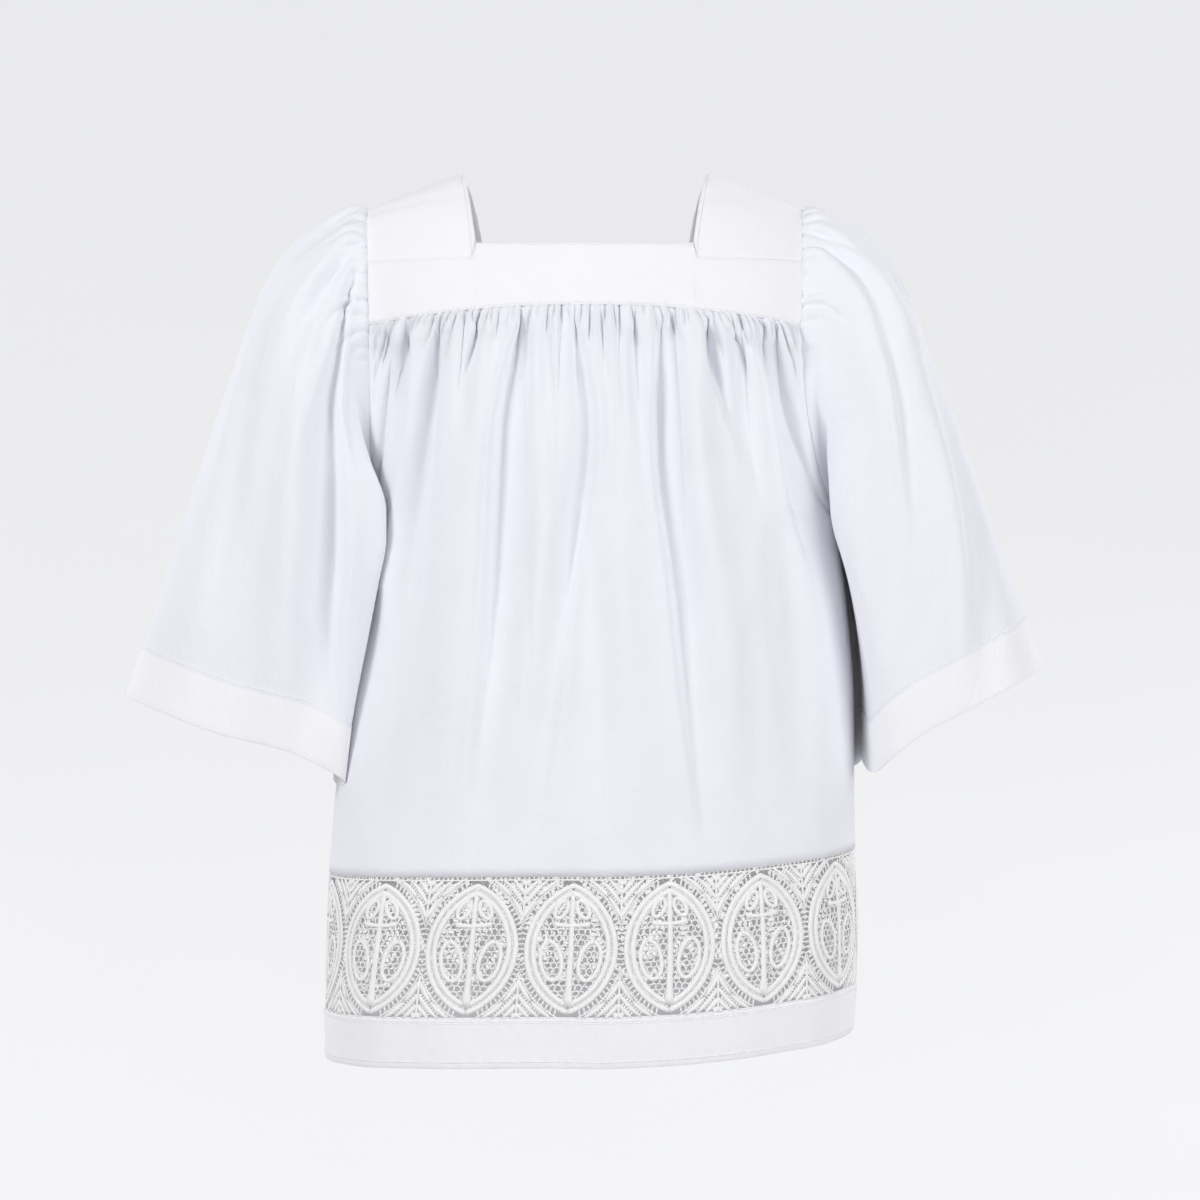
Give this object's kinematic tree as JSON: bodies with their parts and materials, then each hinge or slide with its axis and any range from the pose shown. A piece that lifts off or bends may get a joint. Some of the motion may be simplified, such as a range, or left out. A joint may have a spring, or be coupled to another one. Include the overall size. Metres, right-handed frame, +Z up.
{
  "type": "surplice",
  "caption": "White surplice with a square neck yoke, gathered body, bell sleeves and a lace insertion above its bottom band, in its worn shape.",
  "frame": {"origin": "middle of the neck, midway between the two shoulder ridges and level with their neck ends", "axes": "+X to the wearer's left, +Y to the wearer's back, +Z up; the garment's front faces -Y"},
  "size_m": [0.799, 0.283, 0.7653],
  "materials": {
    "plain_cloth": "matte plain-woven cotton blend, a little see-through",
    "double_cloth": "the same cloth in two pressed layers",
    "lace": "matte corded guipure lace"
  },
  "bodies": {
    "root": {"front_panel": "plain_cloth", "back_panel": "plain_cloth", "yoke_front": "double_cloth", "yoke_back": "double_cloth", "strap_right": "double_cloth", "strap_left": "double_cloth", "sleeve_right": "plain_cloth", "sleeve_left": "plain_cloth", "lace_front": "lace", "lace_back": "lace", "hem_front": "double_cloth", "hem_back": "double_cloth"}
  },
  "joints": []
}
